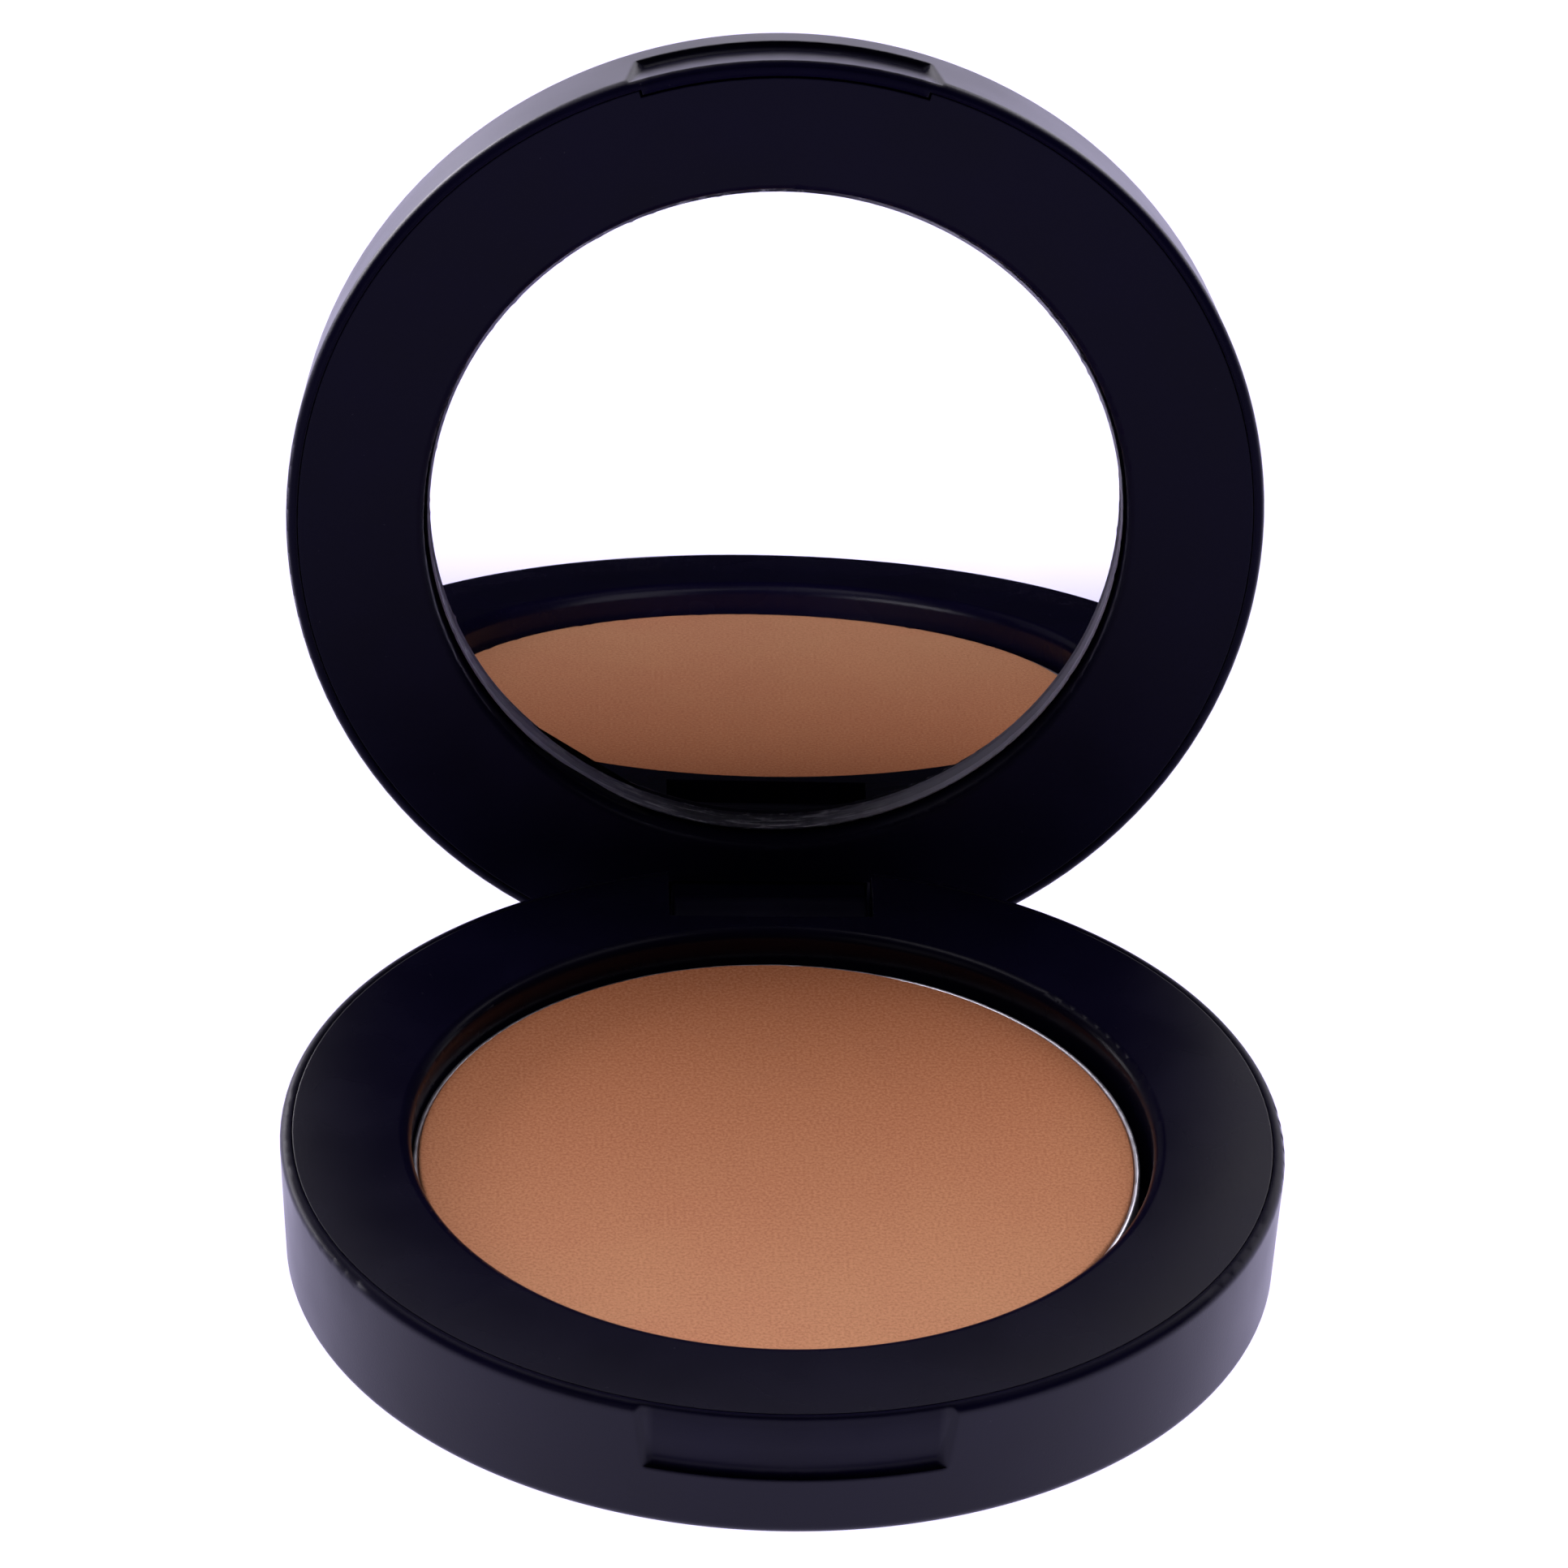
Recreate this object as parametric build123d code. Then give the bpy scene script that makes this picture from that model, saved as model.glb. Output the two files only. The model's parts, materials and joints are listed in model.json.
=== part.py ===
"""Round powder compact: a base with a pressed powder pan and a hinged lid with a mirror.

Millimetres, +Z up. The origin is the centre of the base's underside, the lid's hinge is at the
rear (+Y) and the thumb recess at the front (-Y). The lid is drawn shut, face down on the base,
and then swung open about the hinge to the stop it rests on.
"""
from build123d import *
import os
from math import cos, radians, sin, sqrt

# Outer form
outer_radius = 25.2
base_height = 7.0
base_foot_radius = 24.8
lid_height = 5.65
lid_crown_radius = 24.7
parting_gap = 0.2
edge_round = 0.5
floor_thickness = 1.0
crown_thickness = 1.2
wall_inner_radius = 23.7
flange_thickness = 1.2
seat_radius = 24.6
seat_gap = 0.05
beyond = 2.0  # how far a cutter runs past the surface it opens

# Powder well, pan and cake
well_radius = 18.6
well_round = 0.65
well_wall = 0.8
tray_floor = 0.75
pan_radius = 18.25
pan_sheet = 0.3
pan_sink = 1.5
pan_shift = (-0.28, -0.06)
pan_bend = 0.45
cake_sink = 0.06
cake_gap = 0.02
cake_round = 0.15
pan_adhesive_radius = 12.0
pan_adhesive_thickness = 0.2

# Mirror and its recess
mirror_radius = 17.9
mirror_thickness = 1.5
mirror_sink = 1.1
mirror_chamfer = 0.12
mirror_lean = 1.1  # degrees that the bonded mirror leans about X
mirror_skew = 0.7  # degrees that it leans about Y
backing_radius = 17.8
backing_thickness = 0.1
mirror_adhesive_radius = 15.0
mirror_adhesive_thickness = 0.35
recess_radius = 18.1
recess_round = 0.4
recess_wall = 0.8
frame_floor = 0.8
crown_rib_radius = 10.4
crown_rib_width = 0.8

# Thumb recess across the parting line
thumb_half_width = 7.2
thumb_taper = 0.35
thumb_side_slope = 60
thumb_root_round = 0.35
thumb_corner_round = 0.5
thumb_overrun = 0.1  # share of the recess's height that its cutter runs past the parting line
base_thumb_height = 3.6
base_thumb_edge = 24.85
base_thumb_belly = 25.0
base_thumb_root = 24.5
belly_drop = 0.6
lid_thumb_height = 3.6
lid_thumb_edge = 25.1
lid_thumb_belly = 24.55
lid_thumb_root = 24.3
lip_inner_radius = 24.3
lip_slit = 0.12
lip_overlap = 0.2
lip_half_angle = 17.3
lip_end_gap = 0.3

# Hinge
hinge_y = 22.24
hinge_z = 3.84
open_angle = 98.8
pin_radius = 0.75
pin_length = 15.0
pin_chamfer = 0.15
pin_running_gap = 0.05
tongue_half_width = 5.0
tongue_radius = 2.5
tongue_front_y = 20.35
notch_half_width = 5.25
notch_front_y = 20.0
notch_floor_y = 21.2
saddle_half_width = 7.9
saddle_front_y = 20.7
saddle_top = 5.7
saddle_reach = 24.2
keeper_length = 1.9
keeper_gap = 0.06
keeper_end_gap = 0.1
tongue_gap = 0.15
tongue_root = 0.5
scoop_radius = 3.95
scoop_half_length = 9.2

# Closing magnets and label
magnet_radius = 1.6
magnet_thickness = 1.0
magnet_y = -21.55
magnet_cup_wall = 0.45
magnet_cup_gap = 0.05
label_radius = 19.5
label_thickness = 0.15
label_pocket_radius = 20.0
label_pocket_depth = 0.25

lid_face = base_height + parting_gap
lid_top = lid_face + lid_height
hinge_axis = Axis((0, hinge_y, hinge_z), (1, 0, 0))


def turned(points, rounds=()):
    """Revolve a closed (radius, height) outline about Z, rounding the corners named in rounds."""
    face = make_face(Plane.XZ * Polyline(*points, close=True))
    for corner, radius in rounds:
        target = Plane.XZ.from_local_coords(Vector(*points[corner]))
        vertex = min(face.vertices(), key=lambda v: (v.center() - target).length)
        face = face.faces()[0].fillet_2d(radius, [vertex])
    return revolve(face, axis=Axis.Z)


def ring(inner, outer, low, high, centre=(0, 0)):
    """A plain ring, or a disc when inner is 0."""
    shape = Pos(*centre, low) * Cylinder(outer, high - low, align=(Align.CENTER, Align.CENTER, Align.MIN))
    if inner > 0:
        tool = Cylinder(inner, high - low, align=(Align.CENTER, Align.CENTER, Align.MIN))
        shape -= Pos(*centre, low) * tool
    return shape


def block(x0, x1, y0, y1, z0, z1):
    """A box between two corners."""
    centre = ((x0 + x1) / 2, (y0 + y1) / 2, (z0 + z1) / 2)
    return Pos(*centre) * Box(x1 - x0, y1 - y0, z1 - z0)


def x_cylinder(radius, x0, x1, y, z):
    """A cylinder along X."""
    return Pos((x0 + x1) / 2, y, z) * Rot(0, 90, 0) * Cylinder(radius, x1 - x0)


def front_sector(half_angle, low, high):
    """A wedge about the front centre line, from the axis out past the rim."""
    reach = 2 * outer_radius
    side = (reach * sin(radians(half_angle)), -reach * cos(radians(half_angle)))
    outline = Polyline((0, 0), (-side[0], side[1]), (side[0], side[1]), close=True)
    return Pos(0, 0, low) * extrude(make_face(outline), amount=high - low)


def thumb_cutter(floor_points, parting, root):
    """The space a thumb recess takes out of a rim: a turned shape inside a window that flares out."""
    outside = outer_radius + beyond
    past = parting + (parting - root) * thumb_overrun
    outline = [(floor_points[0][0], past)] + list(floor_points)
    outline += [(outside, root), (outside, past)]
    narrow = thumb_half_width - thumb_taper
    wide = thumb_half_width + thumb_taper * thumb_overrun
    start = sqrt(floor_points[-1][0] ** 2 - narrow ** 2)
    window = Polyline((-wide, past), (-narrow, root), (narrow, root), (wide, past), close=True)
    face = make_face(Plane.XZ.offset(start) * window)
    corners = [v for v in face.vertices() if abs(v.Z - root) < parting_gap]
    face = face.faces()[0].fillet_2d(thumb_corner_round, corners)
    prism = extrude(face, amount=outside - start, dir=(0, -1, 0), taper=-thumb_side_slope)
    return turned(outline, rounds=[(len(floor_points), thumb_root_round)]) & prism


# Base body ---------------------------------------------------------------------------------------

def make_base_shell():
    """Outer cup: drafted wall, floor, seat for the tray, thumb recess, hinge notch and saddles."""
    seat_height = base_height - flange_thickness
    shell = turned(
        [(0, 0), (base_foot_radius, 0), (outer_radius, base_height), (seat_radius, base_height),
         (seat_radius, seat_height), (wall_inner_radius, seat_height),
         (wall_inner_radius, floor_thickness), (0, floor_thickness)],
        rounds=[(1, edge_round), (2, edge_round)],
    )
    shell -= ring(0, label_pocket_radius, 0, label_pocket_depth)
    floor = [(base_thumb_edge, base_height), (base_thumb_belly, base_height - belly_drop),
             (base_thumb_root, base_height - base_thumb_height)]
    shell -= thumb_cutter(floor, base_height, base_height - base_thumb_height)
    saddles = block(-saddle_half_width, saddle_half_width, saddle_front_y, saddle_reach,
                    floor_thickness, saddle_top)
    shell += saddles & ring(0, saddle_reach, 0, base_height)
    behind = outer_radius + beyond
    above = base_height + beyond
    shell -= block(-notch_half_width, notch_half_width, notch_front_y - beyond, behind,
                   floor_thickness, above)
    shell -= block(-notch_half_width, notch_half_width, notch_floor_y, behind, -beyond, above)
    half_pin = pin_length / 2
    shell -= x_cylinder(pin_radius, -half_pin, half_pin, hinge_y, hinge_z)
    shell -= block(-half_pin, half_pin, hinge_y - pin_radius, hinge_y + pin_radius,
                   hinge_z, seat_height)
    return shell


def make_inner_tray():
    """Insert that closes the base: flat ring, powder well, magnet cup and pin keepers."""
    under = base_height - flange_thickness
    low = floor_thickness
    tray = turned(
        [(0, low), (well_radius + well_wall, low), (well_radius + well_wall, under),
         (seat_radius - seat_gap, under), (seat_radius - seat_gap, base_height),
         (well_radius, base_height), (well_radius, low + tray_floor), (0, low + tray_floor)],
        rounds=[(5, well_round)],
    )
    tray -= block(-notch_half_width, notch_half_width, notch_front_y, outer_radius,
                  under - beyond, base_height + beyond)
    cup_inner = magnet_radius + magnet_cup_gap
    tray += ring(cup_inner, cup_inner + magnet_cup_wall, under - magnet_thickness, under,
                 (0, magnet_y))
    keeper_end = pin_length / 2 - keeper_end_gap
    keeper_half = pin_radius - keeper_gap
    for side in (-1, 1):
        ends = sorted((side * keeper_end, side * (keeper_end - keeper_length)))
        tray += block(*ends, hinge_y - keeper_half, hinge_y + keeper_half,
                      hinge_z + pin_radius + keeper_gap, under)
    return tray


def make_powder_pan():
    """Shallow pressed metal cup that holds the cake."""
    low = floor_thickness + tray_floor + pan_adhesive_thickness
    high = base_height - pan_sink
    inner = pan_radius - pan_sheet
    pan = turned(
        [(0, low), (pan_radius, low), (pan_radius, high), (inner, high),
         (inner, low + pan_sheet), (0, low + pan_sheet)],
        rounds=[(1, pan_bend), (4, pan_bend - pan_sheet)],
    )
    return Pos(*pan_shift) * pan


def make_pressed_powder():
    """Cake of pressed powder filling the pan almost to its rim."""
    low = floor_thickness + tray_floor + pan_adhesive_thickness + pan_sheet
    high = base_height - pan_sink - cake_sink
    side = pan_radius - pan_sheet - cake_gap
    cake = turned([(0, low), (side, low), (side, high), (0, high)],
                  rounds=[(1, pan_sheet), (2, cake_round)])
    return Pos(*pan_shift) * cake


def make_pan_adhesive():
    """Glue pad between the pan and the tray."""
    low = floor_thickness + tray_floor
    return ring(0, pan_adhesive_radius, low, low + pan_adhesive_thickness, pan_shift)


def make_hinge_pin():
    """Steel pin, pressed into the base's saddles, on which the lid's tongue turns."""
    pin = x_cylinder(pin_radius, -pin_length / 2, pin_length / 2, hinge_y, hinge_z)
    return chamfer(pin.edges().filter_by(GeomType.CIRCLE), pin_chamfer)


def make_base_magnet():
    """Disc magnet in the cup under the tray's front."""
    under = base_height - flange_thickness
    return ring(0, magnet_radius, under - magnet_thickness, under, (0, magnet_y))


def make_underside_label():
    """Blank round label set into the pocket under the base."""
    return ring(0, label_radius, label_pocket_depth - label_thickness, label_pocket_depth)


# Lid body, drawn shut ----------------------------------------------------------------------------

def make_lid_shell():
    """Outer cup of the lid: crown, drafted wall, thumb lip, crown rib and hinge tongue."""
    seat_height = lid_face + flange_thickness
    inner_crown = lid_top - crown_thickness
    shell = turned(
        [(0, lid_top), (lid_crown_radius, lid_top), (outer_radius, lid_face),
         (seat_radius, lid_face), (seat_radius, seat_height), (wall_inner_radius, seat_height),
         (wall_inner_radius, inner_crown), (0, inner_crown)],
        rounds=[(1, edge_round), (2, edge_round)],
    )
    lip = ring(lip_inner_radius, seat_radius + lip_overlap, lid_face, seat_height)
    shell += lip & front_sector(lip_half_angle, lid_face, seat_height)
    root = lid_face + lid_thumb_height
    floor = [(lid_thumb_edge, lid_face), (lid_thumb_belly, root - belly_drop), (lid_thumb_root, root)]
    shell -= thumb_cutter(floor, lid_face, root)
    frame_back = lid_face + mirror_stack() + frame_floor
    shell += ring(crown_rib_radius - crown_rib_width, crown_rib_radius, frame_back, inner_crown)
    shell -= swing_scoop()
    return shell + make_tongue(inner_crown)


def swing_scoop():
    """Round relief about the hinge that lets the lid's rear edge swing past the base's rim."""
    return x_cylinder(scoop_radius, -scoop_half_length, scoop_half_length, hinge_y, hinge_z)


def make_tongue(inner_crown):
    """Hinge tongue: a neck from the lid's rear wall down to a round eye on the pin."""
    half = tongue_half_width
    neck = block(-half, half, tongue_front_y, outer_radius, hinge_z, inner_crown + tongue_root)
    wall = turned([(0, 0), (base_foot_radius, 0), (outer_radius, base_height),
                   (outer_radius, lid_face), (lid_crown_radius, lid_top), (0, lid_top)])
    tongue = (neck & wall) + x_cylinder(tongue_radius, -half, half, hinge_y, hinge_z)
    return tongue - x_cylinder(pin_radius + pin_running_gap, -half, half, hinge_y, hinge_z)


def mirror_stack():
    """Depth from the lid's face to the floor of the frame: glass, backing and adhesive."""
    return mirror_sink + mirror_thickness + backing_thickness + mirror_adhesive_thickness


def askew(piece):
    """Lean a mirror layer about the middle of the glass's front."""
    sink = lid_face + mirror_sink
    return Pos(0, 0, sink) * Rot(mirror_lean, mirror_skew, 0) * Pos(0, 0, -sink) * piece


def mirror_floor_cutter(low, floor):
    """The space in front of the frame's floor, which is parallel to the leaning mirror."""
    half = recess_radius + beyond
    front = askew(block(-half, half, -half, half, low, floor))
    return ring(0, recess_radius, low, floor + beyond) & front


def make_mirror_frame():
    """Insert that closes the lid: flat ring, mirror recess and magnet cup."""
    flange_back = lid_face + flange_thickness
    floor_low = lid_face + mirror_stack()
    floor_high = floor_low + frame_floor
    bore_end = lid_face + mirror_sink
    outer = seat_radius - seat_gap
    frame = turned(
        [(0, floor_high), (recess_radius + recess_wall, floor_high),
         (recess_radius + recess_wall, flange_back), (outer, flange_back), (outer, lid_face),
         (recess_radius, lid_face), (recess_radius, bore_end), (0, bore_end)],
        rounds=[(5, recess_round)],
    )
    frame -= mirror_floor_cutter(bore_end - recess_round, floor_low)
    low = lid_face - beyond
    slit = ring(lip_inner_radius - lip_slit, outer_radius, low, flange_back)
    frame -= slit & front_sector(lip_half_angle + lip_end_gap, low, flange_back)
    half = tongue_half_width + tongue_gap
    frame -= block(-half, half, tongue_front_y - tongue_gap, outer_radius, low, floor_high)
    frame -= swing_scoop()
    cup_inner = magnet_radius + magnet_cup_gap
    frame += ring(cup_inner, cup_inner + magnet_cup_wall, flange_back,
                  flange_back + magnet_thickness, (0, magnet_y))
    return frame


def make_mirror_glass():
    """Round glass disc with a ground edge and a small chamfer at its front."""
    low = lid_face + mirror_sink
    high = low + mirror_thickness
    cut = mirror_chamfer
    return askew(turned([(0, low), (mirror_radius - cut, low), (mirror_radius, low + cut),
                         (mirror_radius, high), (0, high)]))


def make_mirror_backing():
    """Silvering and its protective coat on the back of the glass."""
    low = lid_face + mirror_sink + mirror_thickness
    return askew(ring(0, backing_radius, low, low + backing_thickness))


def make_mirror_adhesive():
    """Double-sided pad that holds the mirror in its recess."""
    high = lid_face + mirror_stack()
    return askew(ring(0, mirror_adhesive_radius, high - mirror_adhesive_thickness, high))


def make_lid_magnet():
    """Disc magnet in the cup behind the frame's front, facing the one in the base."""
    low = lid_face + flange_thickness
    return ring(0, magnet_radius, low, low + magnet_thickness, (0, magnet_y))


base_pieces = {
    "base_shell": make_base_shell,
    "inner_tray": make_inner_tray,
    "powder_pan": make_powder_pan,
    "pressed_powder": make_pressed_powder,
    "pan_adhesive": make_pan_adhesive,
    "hinge_pin": make_hinge_pin,
    "base_magnet": make_base_magnet,
    "underside_label": make_underside_label,
}
lid_pieces = {
    "lid_shell": make_lid_shell,
    "mirror_frame": make_mirror_frame,
    "mirror_glass": make_mirror_glass,
    "mirror_backing": make_mirror_backing,
    "mirror_adhesive": make_mirror_adhesive,
    "lid_magnet": make_lid_magnet,
}

os.makedirs("parts", exist_ok=True)
for name, make in base_pieces.items():
    export_step(make(), f"parts/{name}.step")
for name, make in lid_pieces.items():
    export_step(make().rotate(hinge_axis, -open_angle), f"parts/{name}.step")
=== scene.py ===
"""Powder compact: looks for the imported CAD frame. Metres, +Z up, the lid's hinge towards +Y."""
import json
import math

import bpy
from mathutils import Euler, Matrix, Vector, noise


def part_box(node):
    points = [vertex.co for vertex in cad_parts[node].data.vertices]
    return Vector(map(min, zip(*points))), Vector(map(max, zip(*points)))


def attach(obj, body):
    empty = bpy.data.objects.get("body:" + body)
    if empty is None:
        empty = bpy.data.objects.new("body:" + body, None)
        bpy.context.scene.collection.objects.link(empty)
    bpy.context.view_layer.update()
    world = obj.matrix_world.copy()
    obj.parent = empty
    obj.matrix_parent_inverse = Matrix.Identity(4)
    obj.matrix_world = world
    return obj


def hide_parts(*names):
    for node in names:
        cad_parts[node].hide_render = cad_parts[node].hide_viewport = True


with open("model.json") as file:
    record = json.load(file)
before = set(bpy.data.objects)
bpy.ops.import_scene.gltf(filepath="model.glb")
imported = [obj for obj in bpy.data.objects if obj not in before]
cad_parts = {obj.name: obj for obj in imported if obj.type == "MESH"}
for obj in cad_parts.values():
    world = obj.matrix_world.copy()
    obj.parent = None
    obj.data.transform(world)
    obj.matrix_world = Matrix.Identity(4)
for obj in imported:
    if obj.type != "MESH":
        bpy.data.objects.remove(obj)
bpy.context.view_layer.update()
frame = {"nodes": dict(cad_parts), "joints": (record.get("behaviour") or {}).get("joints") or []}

MM = 0.001
nodes = frame["nodes"]
hinge = frame["joints"][0]
full_swing = math.radians(max(hinge["range_deg"]))


# Mesh helpers ------------------------------------------------------------------------------------

def lathe(name, profile, segments, smooth_angle=40.0):
    """Closed solid turned about Z from an outline of (radius, height, slot); both ends lie on Z.

    The slot of a point is the material index of the band that runs from it to the next point.
    """
    spin = [2 * math.pi * step / segments for step in range(segments)]
    points = [(0.0, 0.0, profile[0][1])]
    for radius, height, _ in profile[1:-1]:
        points += [(radius * math.cos(a), radius * math.sin(a), height) for a in spin]
    points.append((0.0, 0.0, profile[-1][1]))
    faces, slots = [], []
    last = len(points) - 1
    for step in range(segments):
        after = (step + 1) % segments
        faces.append((0, 1 + after, 1 + step))
        slots.append(profile[0][2])
        for band in range(len(profile) - 3):
            low = 1 + band * segments
            high = low + segments
            faces.append((low + step, low + after, high + after, high + step))
            slots.append(profile[band + 1][2])
        edge = last - segments
        faces.append((last, edge + step, edge + after))
        slots.append(profile[-2][2])
    mesh = bpy.data.meshes.new(name)
    mesh.from_pydata(points, [], faces)
    mesh.polygons.foreach_set("material_index", slots)
    mesh.shade_smooth()
    mesh.set_sharp_from_angle(angle=math.radians(smooth_angle))
    piece = bpy.data.objects.new(name, mesh)
    bpy.context.scene.collection.objects.link(piece)
    return piece


def move_points(piece, shift):
    """Move each vertex of a piece by shift(place), a function from Vector to Vector."""
    for vertex in piece.data.vertices:
        vertex.co += shift(vertex.co.copy())
    piece.data.update()


def arc(centre, radius, start, end, steps, slot):
    """Outline points along an arc; angles in degrees from +radius towards +height."""
    angles = [math.radians(start + (end - start) * i / steps) for i in range(steps + 1)]
    return [(centre[0] + radius * math.cos(a), centre[1] + radius * math.sin(a), slot)
            for a in angles]


def noise_at(place, size, seed):
    """Smooth noise, about -1 to 1, with features size metres across."""
    return noise.noise(place / size + Vector((seed, 2.3 * seed, -seed)))


# Node material helpers ---------------------------------------------------------------------------

def new_material(name):
    """An empty node material; returns the material, its node tree and its output node."""
    material = bpy.data.materials.new(name)
    material.use_nodes = True
    tree = material.node_tree
    tree.nodes.clear()
    output = tree.nodes.new("ShaderNodeOutputMaterial")
    return material, tree, output


def feed(tree, socket, value):
    """Give a socket a value: another socket, a number, or a colour of three numbers."""
    if isinstance(value, bpy.types.NodeSocket):
        tree.links.new(value, socket)
    elif isinstance(value, tuple) and socket.type == "RGBA":
        socket.default_value = (*value, 1.0)
    else:
        socket.default_value = value


def object_coords(tree):
    """Coordinates in the piece's own frame, in metres."""
    return tree.nodes.new("ShaderNodeTexCoord").outputs["Object"]


def noise_value(tree, coords, size, detail=3.0, roughness=0.55):
    """Noise from 0 to 1 whose features are about size metres across."""
    node = tree.nodes.new("ShaderNodeTexNoise")
    node.inputs["Scale"].default_value = 1.0 / size
    node.inputs["Detail"].default_value = detail
    node.inputs["Roughness"].default_value = roughness
    tree.links.new(coords, node.inputs["Vector"])
    return node.outputs["Fac"]


def remap(tree, value, low, high, start=0.3, end=0.7):
    """Value from start..end stretched onto low..high."""
    node = tree.nodes.new("ShaderNodeMapRange")
    node.inputs["From Min"].default_value = start
    node.inputs["From Max"].default_value = end
    node.inputs["To Min"].default_value = low
    node.inputs["To Max"].default_value = high
    tree.links.new(value, node.inputs["Value"])
    return node.outputs["Result"]


def mix_colour(tree, factor, first, second, blend="MIX"):
    """Mix of two colours; each is three numbers or a socket, and the factor a number or socket."""
    node = tree.nodes.new("ShaderNodeMix")
    node.data_type = "RGBA"
    node.blend_type = blend
    feed(tree, node.inputs["Factor"], factor)
    feed(tree, node.inputs[6], first)
    feed(tree, node.inputs[7], second)
    return node.outputs[2]


def bump(tree, height, distance, strength=1.0, below=None):
    """Bump normal from a height socket; distance is the relief in metres."""
    node = tree.nodes.new("ShaderNodeBump")
    node.inputs["Distance"].default_value = distance
    node.inputs["Strength"].default_value = strength
    tree.links.new(height, node.inputs["Height"])
    if below is not None:
        tree.links.new(below, node.inputs["Normal"])
    return node.outputs["Normal"]


def principled(tree, output, **values):
    """A Principled shader; keyword names are its sockets with _ for spaces."""
    shader = tree.nodes.new("ShaderNodeBsdfPrincipled")
    for key, value in values.items():
        feed(tree, shader.inputs[key.replace("_", " ")], value)
    tree.links.new(shader.outputs[0], output.inputs["Surface"])
    return shader


def separated(tree, coords):
    """The outputs X, Y and Z of coordinates, to take by name."""
    node = tree.nodes.new("ShaderNodeSeparateXYZ")
    tree.links.new(coords, node.inputs[0])
    return node.outputs


def calculated(tree, operation, *values):
    """Result of a Math node's operation on sockets."""
    node = tree.nodes.new("ShaderNodeMath")
    node.operation = operation
    for value, socket in zip(values, node.inputs):
        tree.links.new(value, socket)
    return node.outputs[0]


def softened_normal(tree, radius):
    """World normal that rounds a mesh's edges by radius."""
    node = tree.nodes.new("ShaderNodeBevel")
    node.samples = 6
    node.inputs["Radius"].default_value = radius
    return node.outputs["Normal"]


def facing(tree, normal, direction):
    """How far a world normal points along a direction of the piece's own frame, -1 to 1."""
    turned = tree.nodes.new("ShaderNodeVectorTransform")
    turned.vector_type = "NORMAL"
    turned.convert_from = "WORLD"
    turned.convert_to = "OBJECT"
    tree.links.new(normal, turned.inputs[0])
    along = tree.nodes.new("ShaderNodeVectorMath")
    along.operation = "DOT_PRODUCT"
    along.inputs[1].default_value = direction
    tree.links.new(turned.outputs[0], along.inputs[0])
    return along.outputs["Value"]


def swung_about_hinge(tree, coords, angle):
    """Coordinates turned about the hinge by an angle in radians."""
    node = tree.nodes.new("ShaderNodeVectorRotate")
    node.inputs["Center"].default_value = hinge["pos_m"]
    node.inputs["Axis"].default_value = hinge["axis"]
    node.inputs["Angle"].default_value = angle
    tree.links.new(coords, node.inputs["Vector"])
    return node.outputs["Vector"]


def thumb_window(tree, coords, low, high):
    """1 in the thumb recess at the front of the shut case, between two heights; 0 around it."""
    half_width, side_blur = 7.1 * MM, 0.2 * MM
    edge_blur = 0.2 * MM
    place = separated(tree, coords)
    aside = calculated(tree, "ABSOLUTE", place["X"])
    between = remap(tree, aside, 1.0, 0.0, half_width - side_blur, half_width + side_blur)
    front = remap(tree, place["Y"], 1.0, 0.0, -23 * MM, -20 * MM)
    above = remap(tree, place["Z"], 0.0, 1.0, low, low + edge_blur)
    below = remap(tree, place["Z"], 1.0, 0.0, high - edge_blur, high)
    middle = calculated(tree, "MULTIPLY", between, front)
    return calculated(tree, "MULTIPLY", middle, calculated(tree, "MULTIPLY", above, below))


# Materials ---------------------------------------------------------------------------------------

def moulded_plastic(name, dark, light, roughness, gloss, texture, softness, face=None,
                    thumb_heights=None, open_angle=0.0):
    """Satin black plastic: fine moulded texture, cloudy gloss, a few dusty spots.

    Roughness and gloss are pairs. Gloss runs from what faces along face, a direction in the
    piece's frame that is left matte by the tool, to what lies across it. Edges look rounded
    by softness. The thumb recess between the two thumb_heights is more matte; open_angle is how
    far the piece stands open in its own frame, in radians.
    """
    thumb_matte = 0.55
    material, tree, output = new_material(name)
    coords = object_coords(tree)
    cloud = noise_value(tree, coords, 6 * MM, detail=2.0)
    grain = noise_value(tree, coords, 0.12 * MM, detail=3.0)
    speck = noise_value(tree, coords, 0.30 * MM, detail=2.0)
    tone = mix_colour(tree, remap(tree, cloud, 0.0, 1.0), dark, light)
    dusty = mix_colour(tree, remap(tree, speck, 0.0, 0.05, 0.76, 0.82), tone, (0.55, 0.53, 0.60))
    rounded = softened_normal(tree, softness)
    if face is None:
        shine = remap(tree, cloud, gloss[1] * 0.9, gloss[1])
    else:
        shine = remap(tree, facing(tree, rounded, face), gloss[1], gloss[0], 0.1, 0.75)
    if thumb_heights is not None:
        window = thumb_window(tree, swung_about_hinge(tree, coords, open_angle), *thumb_heights)
        less = remap(tree, window, 1.0, thumb_matte, 0.0, 1.0)
        shine = calculated(tree, "MULTIPLY", shine, less)
    principled(
        tree, output,
        Base_Color=dusty,
        Roughness=remap(tree, cloud, *roughness),
        Specular_IOR_Level=shine,
        Normal=bump(tree, grain, texture, below=rounded),
    )
    return material


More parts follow.
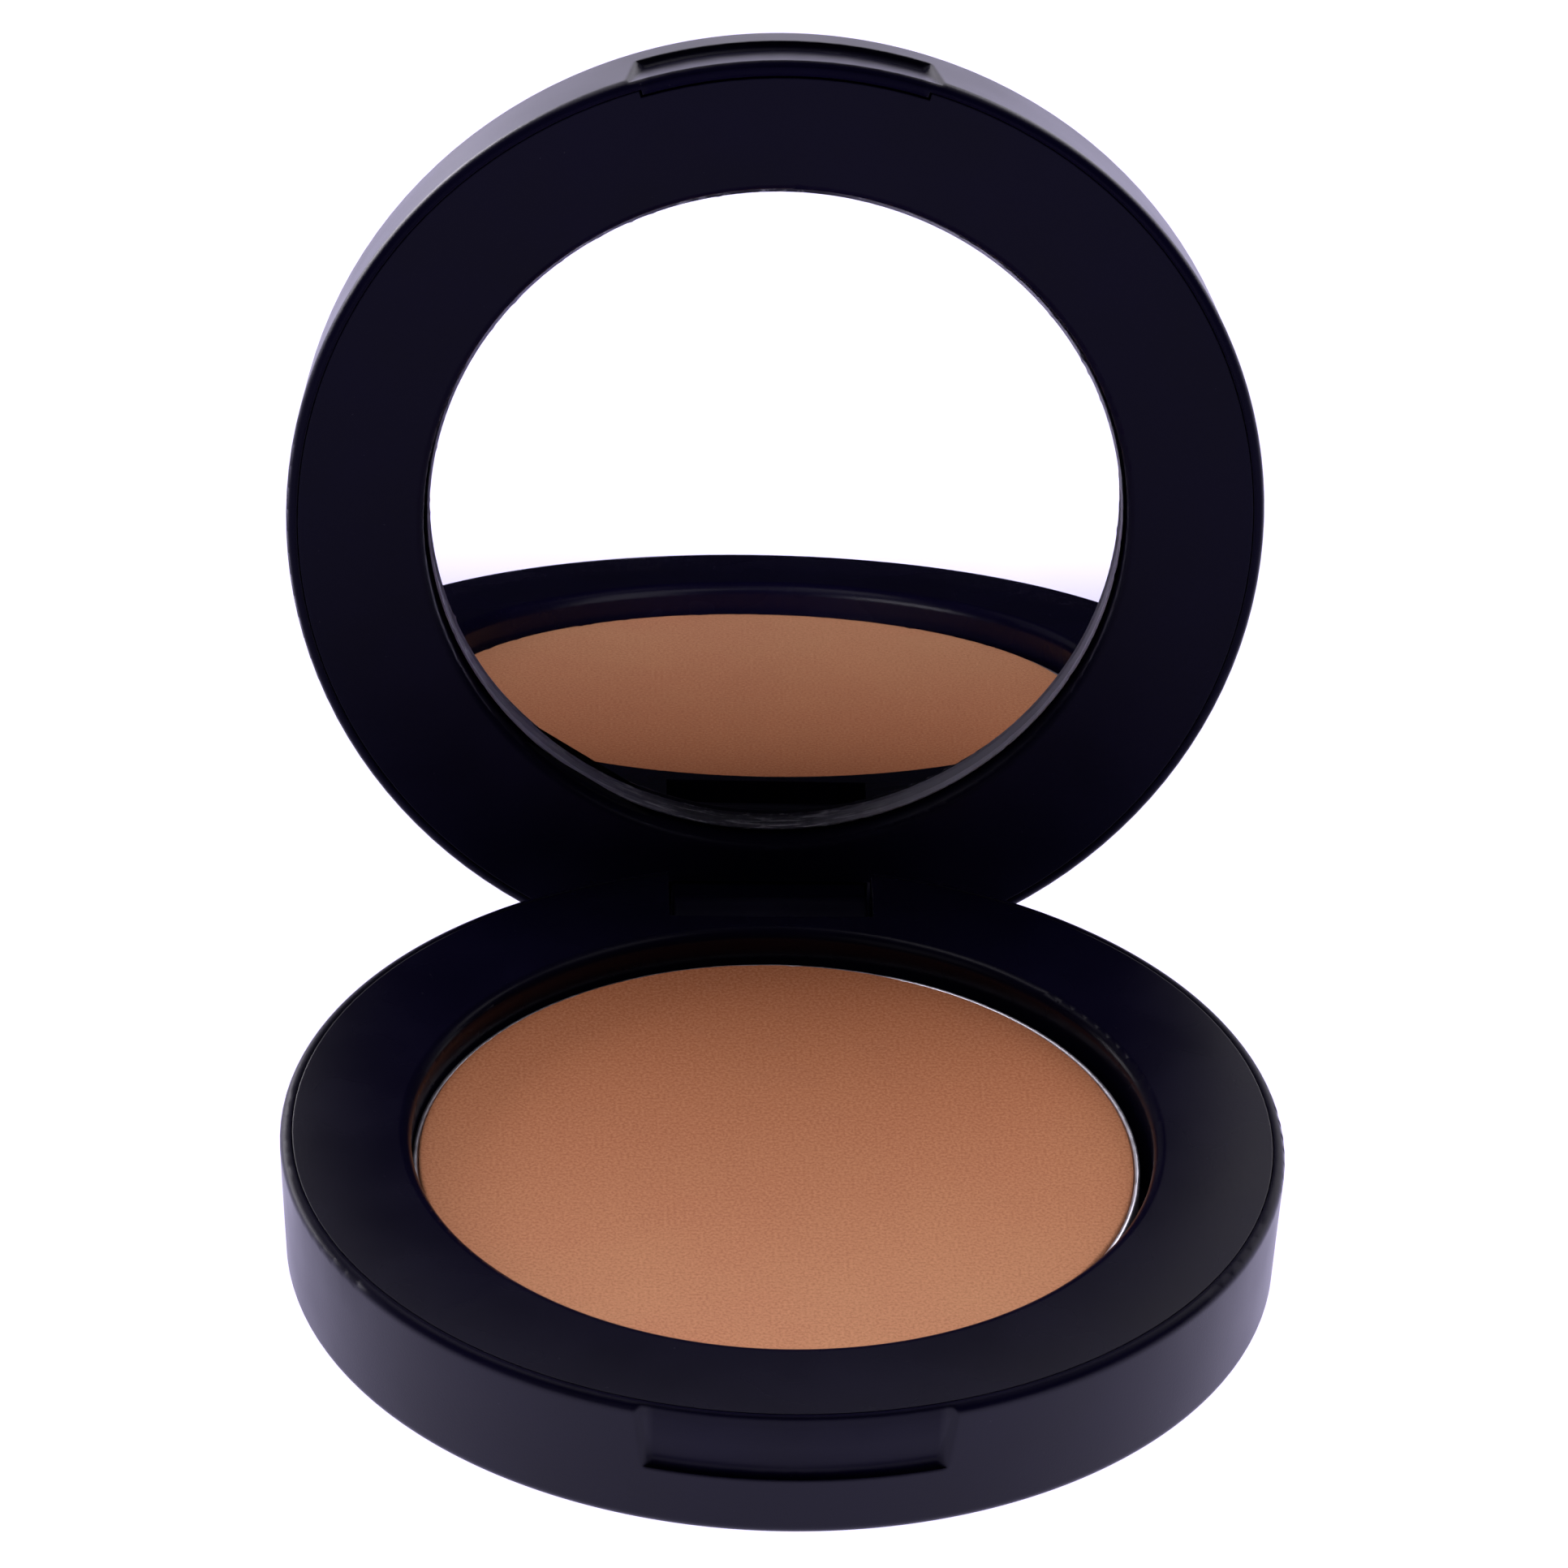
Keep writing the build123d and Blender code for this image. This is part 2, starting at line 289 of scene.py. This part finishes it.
def pressed_powder():
    """Matte cosmetic powder: fine grain in colour and relief, soft mottling, and painted shade that
    makes it darker and redder towards the back.
    """
    material, tree, output = new_material("powder_finish")
    coords = object_coords(tree)
    depth = separated(tree, coords)["Y"]
    cloud = noise_value(tree, coords, 9 * MM, detail=2.5)
    patch = noise_value(tree, coords, 3.2 * MM, detail=3.0)
    speck = noise_value(tree, coords, 0.16 * MM, detail=1.5, roughness=0.6)
    dust = noise_value(tree, coords, 0.09 * MM, detail=3.0, roughness=0.7)
    base = mix_colour(tree, remap(tree, cloud, 0.0, 1.0), (0.545, 0.234, 0.120),
                      (0.560, 0.266, 0.132))
    # Painted shade: the colour turns darker and redder towards the back (+Y), standing in for the
    # shade the lid casts there.
    painted_back_shade = mix_colour(tree, remap(tree, depth, 0.0, 1.0, -14 * MM, 18 * MM), base,
                      (0.535, 0.172, 0.066))
    rubbed = mix_colour(tree, remap(tree, patch, 0.0, 0.16, 0.5, 0.75), painted_back_shade, (0.44, 0.165, 0.085))
    pale = mix_colour(tree, remap(tree, speck, 0.0, 0.38, 0.40, 0.70), rubbed, (0.80, 0.40, 0.22))
    grained = mix_colour(tree, remap(tree, speck, 0.32, 0.0, 0.26, 0.46), pale, (0.36, 0.12, 0.055))
    relief = bump(tree, dust, 0.02 * MM, 0.6)
    principled(
        tree, output,
        Base_Color=grained,
        Roughness=remap(tree, speck, 0.82, 1.0),
        Specular_IOR_Level=0.1,
        Normal=bump(tree, speck, 0.03 * MM, 0.8, below=relief),
    )
    return material


def bare_metal(name, colour, rough_low, rough_high, grain_size, relief):
    """Bare sheet or turned metal with faint handling marks."""
    material, tree, output = new_material(name)
    coords = object_coords(tree)
    marks = noise_value(tree, coords, grain_size, detail=4.0)
    dull = tuple(channel * 0.82 for channel in colour)
    principled(
        tree, output,
        Base_Color=mix_colour(tree, remap(tree, marks, 0.0, 1.0), dull, colour),
        Metallic=1.0,
        Roughness=remap(tree, marks, rough_low, rough_high),
        Normal=bump(tree, marks, relief),
    )
    return material


def clear_glass():
    """Coated float glass with no shine of its own, and a faint film of handling haze."""
    material, tree, output = new_material("glass_clear_finish")
    coords = object_coords(tree)
    haze = noise_value(tree, coords, 5 * MM, detail=3.0)
    principled(
        tree, output,
        Base_Color=(0.985, 0.99, 0.995),
        Roughness=remap(tree, haze, 0.0, 0.006),
        IOR=1.52,
        Specular_Tint=(0.0, 0.0, 0.0),
        Transmission_Weight=1.0,
    )
    return material


def ground_glass():
    """The mirror's ground edge: grey, with painted light that makes it paler to the sides, palest
    to the right; pale grinding streaks run round it.
    """
    material, tree, output = new_material("glass_ground_finish")
    coords = object_coords(tree)
    place = separated(tree, coords)
    around = calculated(tree, "ARCTAN2", place["Y"], place["X"])
    track = tree.nodes.new("ShaderNodeCombineXYZ")
    tree.links.new(remap(tree, around, 0.0, 25 * MM, -math.pi, math.pi), track.inputs[0])
    tree.links.new(place["Z"], track.inputs[1])
    scratch = noise_value(tree, coords, 0.30 * MM, detail=5.0, roughness=0.7)
    streak = noise_value(tree, track.outputs[0], 0.45 * MM, detail=4.0, roughness=0.7)
    # Painted light: the edge is made paler towards the left and palest towards the right, standing
    # in for light that falls on it through the glass.
    left = remap(tree, place["X"], 1.0, 0.0, -12 * MM, -4 * MM)
    right = remap(tree, place["X"], 0.0, 1.0, 2 * MM, 10 * MM)
    grey = mix_colour(tree, left, (0.10, 0.095, 0.12), (0.64, 0.61, 0.76))
    tone = mix_colour(tree, right, grey, (0.90, 0.88, 0.94))
    pale = mix_colour(tree, remap(tree, streak, 0.0, 0.9, 0.52, 0.64), tone, (0.92, 0.91, 0.95))
    principled(
        tree, output,
        Base_Color=pale,
        Roughness=remap(tree, scratch, 0.35, 0.7),
        Normal=bump(tree, scratch, 0.05 * MM, 0.7),
    )
    return material


def silvering(name):
    """Silver film seen through the glass."""
    material, tree, output = new_material(name)
    coords = object_coords(tree)
    film = noise_value(tree, coords, 8 * MM, detail=2.0)
    principled(
        tree, output,
        Base_Color=mix_colour(tree, remap(tree, film, 0.0, 1.0), (0.65, 0.65, 0.67),
                              (0.68, 0.68, 0.69)),
        Metallic=1.0,
        Roughness=remap(tree, film, 0.0, 0.01),
    )
    return material


def soft_pad(name, dark, light, cell):
    """Glue or foam: fine cells in colour and relief."""
    material, tree, output = new_material(name)
    coords = object_coords(tree)
    cells = noise_value(tree, coords, cell, detail=3.0)
    principled(
        tree, output,
        Base_Color=mix_colour(tree, remap(tree, cells, 0.0, 1.0), dark, light),
        Roughness=remap(tree, cells, 0.7, 0.95),
        Normal=bump(tree, cells, 0.05 * MM),
    )
    return material


def label_film():
    """Blank satin label: slightly paler and glossier than the case, with a fine paper tooth."""
    material, tree, output = new_material("label_finish")
    coords = object_coords(tree)
    tooth = noise_value(tree, coords, 0.25 * MM, detail=4.0)
    principled(
        tree, output,
        Base_Color=mix_colour(tree, remap(tree, tooth, 0.0, 1.0), (0.030, 0.028, 0.036),
                              (0.040, 0.038, 0.047)),
        Roughness=remap(tree, tooth, 0.42, 0.55),
        Normal=bump(tree, tooth, 0.008 * MM),
    )
    return material


def give(node, material):
    """Put a material in every slot of a CAD node."""
    data = nodes[node].data
    if not data.materials:
        data.materials.append(material)
    for index in range(len(data.materials)):
        data.materials[index] = material


def turned_with_lid(direction):
    """A direction of the shut lid as it points in the open lid."""
    return Matrix.Rotation(-full_swing, 3, Vector(hinge["axis"])) @ Vector(direction)


black = (0.0018, 0.0012, 0.0080)
blue_black = (0.0026, 0.0018, 0.0110)
shell_roughness = (0.27, 0.33)
shell_texture = 0.004 * MM
shell_softness = 0.35 * MM
base_finish = moulded_plastic("base_shell_finish", black, blue_black, shell_roughness,
                              (0.03, 0.185), shell_texture, shell_softness, (0, 0, 1),
                              (3.4 * MM, 7.1 * MM))
lid_finish = moulded_plastic("lid_shell_finish", black, blue_black, shell_roughness, (0.03, 0.22),
                             shell_texture, shell_softness, turned_with_lid((0, 0, -1)),
                             (7.0 * MM, 10.8 * MM), full_swing)
tray_finish = moulded_plastic("inner_tray_finish", black, blue_black, (0.24, 0.30), (0.055, 0.12),
                              0.003 * MM, 0.1 * MM, (0, 0, 1))
frame_finish = moulded_plastic("mirror_frame_finish", black, blue_black, (0.36, 0.44),
                               (0.045, 0.055), 0.003 * MM, 0.1 * MM)
pan_finish = bare_metal("pan_finish", (0.80, 0.79, 0.84), 0.34, 0.52, 0.5 * MM, 0.010 * MM)
steel_finish = bare_metal("steel_finish", (0.56, 0.56, 0.57), 0.22, 0.38, 0.3 * MM, 0.004 * MM)
magnet_finish = bare_metal("magnet_finish", (0.72, 0.71, 0.68), 0.10, 0.22, 0.4 * MM, 0.003 * MM)
powder_finish = pressed_powder()
silver_finish = silvering("silvering_finish")
glass_finish = clear_glass()
edge_finish = ground_glass()
adhesive_finish = soft_pad("adhesive_finish", (0.62, 0.60, 0.54), (0.78, 0.76, 0.70), 0.8 * MM)
tape_finish = soft_pad("tape_finish", (0.70, 0.70, 0.68), (0.84, 0.84, 0.82), 0.3 * MM)
label_finish = label_film()

# A finish for every CAD node
for node, finish in {
    "base_shell": base_finish, "lid_shell": lid_finish,
    "inner_tray": tray_finish, "mirror_frame": frame_finish,
    "powder_pan": pan_finish, "hinge_pin": steel_finish,
    "base_magnet": magnet_finish, "lid_magnet": magnet_finish,
    "pressed_powder": powder_finish, "mirror_glass": glass_finish,
    "mirror_backing": silver_finish, "pan_adhesive": adhesive_finish,
    "mirror_adhesive": tape_finish, "underside_label": label_finish,
}.items():
    give(node, finish)


def joined_and_smooth():
    """Geometry nodes that join the CAD faces' seams and shade every face smooth."""
    group = bpy.data.node_groups.new("joined_and_smooth", "GeometryNodeTree")
    group.interface.new_socket("Geometry", in_out="INPUT", socket_type="NodeSocketGeometry")
    group.interface.new_socket("Geometry", in_out="OUTPUT", socket_type="NodeSocketGeometry")
    entry = group.nodes.new("NodeGroupInput")
    join = group.nodes.new("GeometryNodeMergeByDistance")
    join.inputs["Distance"].default_value = 0.001 * MM
    smooth = group.nodes.new("GeometryNodeSetShadeSmooth")
    leave = group.nodes.new("NodeGroupOutput")
    group.links.new(entry.outputs[0], join.inputs["Geometry"])
    group.links.new(join.outputs["Geometry"], smooth.inputs["Geometry"])
    group.links.new(smooth.outputs["Geometry"], leave.inputs[0])
    return group


def smooth_shading(node, group):
    """Even out the shading of a CAD node's small rounds, keeping its sharp edges."""
    modifiers = nodes[node].modifiers
    modifiers.new("join_seams", "NODES").node_group = group
    modifiers.new("keep_edges", "EDGE_SPLIT").split_angle = math.radians(32)
    modifiers.new("even_rounds", "WEIGHTED_NORMAL").weight = 60


tidy_shading = joined_and_smooth()
for node in ("base_shell", "lid_shell", "inner_tray", "mirror_frame"):
    smooth_shading(node, tidy_shading)


# Detailed pieces ---------------------------------------------------------------------------------

def centre_and_radius(node):
    """Centre in X and Y, radius, and lowest and highest Z of a round node that lies flat."""
    low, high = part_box(node)
    return (low.x + high.x) / 2, (low.y + high.y) / 2, (high.x - low.x) / 2, low.z, high.z


def make_cake():
    """Pressed cake with a soft uneven top and a slightly crumbled edge."""
    x, y, radius, low, high = centre_and_radius("pressed_powder")
    edge_round = 0.15 * MM
    low_round = 0.3 * MM
    rings = 90
    flat = radius - edge_round
    profile = [(0.0, low, 0), (radius - low_round, low, 0), (radius, low + low_round, 0)]
    profile += arc((flat, high - edge_round), edge_round, 0, 90, 5, 0)
    profile += [(flat * (rings - step) / rings, high, 0) for step in range(1, rings)]
    profile.append((0.0, high, 0))
    cake = lathe("powder_cake", profile, 360)

    def uneven(place):
        """Shift of the top: shallow swells, and crumbs lost in the last thirtieth of the radius."""
        if place.z < high - low_round:
            return Vector((0, 0, 0))
        reach = place.xy.length / radius
        swell = noise_at(place, 4 * MM, 3) * 0.010 + noise_at(place, 0.7 * MM, 5) * 0.004
        crumb = max(0.0, noise_at(place, 0.5 * MM, 9) - 0.25) * 0.12 * max(0.0, reach * 30 - 29)
        return Vector((0, 0, -MM * (abs(swell) + crumb)))

    move_points(cake, uneven)
    cake.location = (x, y, 0)
    cake.data.materials.append(powder_finish)
    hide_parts("pressed_powder")
    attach(cake, "base")


def make_pan():
    """Pressed metal pan whose thin rim is rounded over and stands just under the cake's top."""
    x, y, radius, low, high = centre_and_radius("powder_pan")
    below_cad_rim = 0.30 * MM
    high -= below_cad_rim
    sheet = 0.3 * MM
    bend = 0.45 * MM
    half = sheet / 2
    profile = [(0.0, low, 0)]
    profile += arc((radius - bend, low + bend), bend, -90, 0, 6, 0)
    profile += arc((radius - half, high - half), half, 0, 180, 10, 0)
    profile += arc((radius - bend, low + bend), bend - sheet, 0, -90, 4, 0)
    profile.append((0.0, low + sheet, 0))
    pan = lathe("pan_cup", profile, 360)

    def uneven(place):
        """Shift of the rim: up at the right and the rear, with small nicks."""
        if place.z < high - sheet:
            return Vector((0, 0, 0))
        nick = max(0.0, noise_at(place, 0.9 * MM, 21) - 0.35) * 0.10
        wave = noise_at(place, 6 * MM, 17) * 0.02
        tilt = (place.x + place.y) / radius * 0.07
        bow = (place.x / radius) ** 2 * 0.10
        return Vector((0, 0, MM * (tilt + bow + wave - nick)))

    move_points(pan, uneven)
    pan.location = (x, y, 0)
    pan.data.materials.append(pan_finish)
    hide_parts("powder_pan")
    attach(pan, "base")


def lid_turn():
    """Turn about the hinge from the lid's shut place to the open one it rests in."""
    centre = Vector(hinge["pos_m"])
    turn = Matrix.Rotation(-full_swing, 4, Vector(hinge["axis"]))
    return Matrix.Translation(centre) @ turn @ Matrix.Translation(-centre)


def shut_box(node):
    """Lowest and highest corner of a lid node once it is swung shut."""
    back = lid_turn().inverted()
    places = [back @ vertex.co for vertex in nodes[node].data.vertices]
    low = Vector([min(place[axis] for place in places) for axis in range(3)])
    high = Vector([max(place[axis] for place in places) for axis in range(3)])
    return low, high


def make_mirror():
    """Glass disc, a little askew: clear front, ground edge with small chips, silvered back."""
    low, high = shut_box("mirror_glass")
    radius = (high.x - low.x) / 2
    thickness = 1.5 * MM
    lean, skew = math.radians(1.1), math.radians(0.7)
    askew = Euler((lean, skew, 0)).to_matrix().to_4x4()
    chamfer = 0.12 * MM
    back = thickness - 0.02 * MM
    clear, ground, silver = 0, 1, 2
    profile = [(0.0, 0.0, clear), (radius * 0.98, 0.0, clear), (radius - chamfer, 0.0, ground)]
    profile += [(radius, chamfer, ground)]
    profile += [(radius, chamfer + (back - chamfer) * step / 6, ground) for step in range(1, 6)]
    profile += [(radius, back, silver), (0.0, back, silver)]
    glass = lathe("mirror_disc", profile, 480, smooth_angle=25.0)

    def chipped(place):
        """Shift of the edge inwards: chips, deeper at the front, and fine grinding marks."""
        reach = place.xy.length
        if reach < radius * 0.985:
            return Vector((0, 0, 0))
        inward = -place.xy.normalized().to_3d()
        front = 1.0 if place.z < 2 * chamfer else 0.5
        chip = max(0.0, noise_at(place, 0.45 * MM, 31) - 0.30) * 0.16 * front
        grind = abs(noise_at(place, 0.25 * MM, 37)) * 0.015
        return inward * MM * (chip + grind)

    move_points(glass, chipped)
    glass.data.materials.append(glass_finish)
    glass.data.materials.append(edge_finish)
    glass.data.materials.append(silver_finish)
    seat = Matrix.Translation((low + high) / 2) @ askew
    glass.matrix_world = lid_turn() @ seat @ Matrix.Translation((0, 0, -thickness / 2))
    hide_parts("mirror_glass")
    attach(glass, "lid")


make_cake()
make_pan()
make_mirror()


# Stage -------------------------------------------------------------------------------------------

def make_floor(colour, glow):
    """Large white floor lit from below, so that it shows no shadow; brighter out in front."""
    half = 6.0
    front_glow = 1.55 * glow
    mesh = bpy.data.meshes.new("floor")
    corners = [(-half, -half, 0), (half, -half, 0), (half, half, 0), (-half, half, 0)]
    mesh.from_pydata(corners, [], [(0, 1, 2, 3)])
    floor = bpy.data.objects.new("floor", mesh)
    bpy.context.scene.collection.objects.link(floor)
    material, tree, output = new_material("floor_finish")
    depth = separated(tree, object_coords(tree))["Y"]
    lit = remap(tree, depth, front_glow, glow, -52 * MM, -36 * MM)
    principled(tree, output, Base_Color=(0.06, 0.06, 0.06), Roughness=0.9,
               Specular_IOR_Level=0.0, Emission_Color=colour, Emission_Strength=lit)
    mesh.materials.append(material)


def make_light(name, azimuth, elevation, wide, tall, radiance, colour):
    """Soft panel a metre from the object; angles in degrees, azimuth from +X towards +Y."""
    around, up = math.radians(azimuth), math.radians(elevation)
    place = Vector((math.cos(around) * math.cos(up), math.sin(around) * math.cos(up), math.sin(up)))
    data = bpy.data.lights.new(name, "AREA")
    data.shape = "RECTANGLE"
    data.size = 2 * math.tan(math.radians(wide / 2)) * math.cos(up)
    data.size_y = 2 * math.tan(math.radians(tall / 2))
    data.energy = radiance * math.pi * data.size * data.size_y
    data.color = colour
    light = bpy.data.objects.new(name, data)
    light.location = place
    light.rotation_mode = "QUATERNION"
    light.rotation_quaternion = (-place).to_track_quat("-Z", "Y")
    light.visible_camera = False
    bpy.context.scene.collection.objects.link(light)


def make_world(strength):
    """Dim pale surroundings."""
    world = bpy.data.worlds.new("studio")
    world.use_nodes = True
    background = world.node_tree.nodes["Background"]
    background.inputs["Color"].default_value = (0.95, 0.93, 1.0, 1.0)
    background.inputs["Strength"].default_value = strength
    bpy.context.scene.world = world


def make_camera(azimuth, elevation, roll, distance, target, lens):
    """Camera round the target; azimuth 0 looks along +Y, roll turns the frame; in degrees."""
    az, el, turn = (math.radians(a) for a in (azimuth, elevation, roll))
    back = Vector((math.sin(az) * math.cos(el), -math.cos(az) * math.cos(el), math.sin(el)))
    right = (-back).cross(Vector((0, 0, 1))).normalized()
    up = right.cross(-back)
    side = right * math.cos(turn) + up * math.sin(turn)
    top = up * math.cos(turn) - right * math.sin(turn)
    data = bpy.data.cameras.new("camera")
    data.sensor_width = 36.0
    data.lens = lens
    data.clip_start = 0.01
    camera = bpy.data.objects.new("camera", data)
    rotation = Matrix((side, top, back)).transposed().to_4x4()
    camera.matrix_world = Matrix.Translation(Vector(target) + back * distance) @ rotation
    bpy.context.scene.collection.objects.link(camera)
    bpy.context.scene.camera = camera


# Scene assembly
bpy.context.scene.view_settings.view_transform = "Standard"
make_camera(-2.55, 32.0, 1.74, 0.57325, (-0.00047, 0, 0.02755), 267.8)
make_floor((0.75, 0.70, 1.0), 1.43)
make_world(0.02)
lilac = (0.95, 0.91, 1.0)
panel_width = 45
low_panel, middle_panel, high_panel = (10, 20), (35, 30), (62, 25)  # elevation, height in degrees
for name, azimuth, (elevation, panel_height), radiance in (
    ("back_left_low", 135, low_panel, 11.5),
    ("back_right_low", 45, low_panel, 3.5),
    ("back_left_high", 135, high_panel, 4.9),
    ("back_right", 45, middle_panel, 4.1),
    ("back", 90, middle_panel, 2.5),
    ("back_high", 90, high_panel, 1.1),
    ("back_low", 90, low_panel, 1.0),
    ("back_left", 135, middle_panel, 0.9),
    ("right_high", 0, high_panel, 1.5),
    ("front_left", 225, middle_panel, 0.5),
):
    make_light(name, azimuth, elevation, panel_width, panel_height, radiance, lilac)
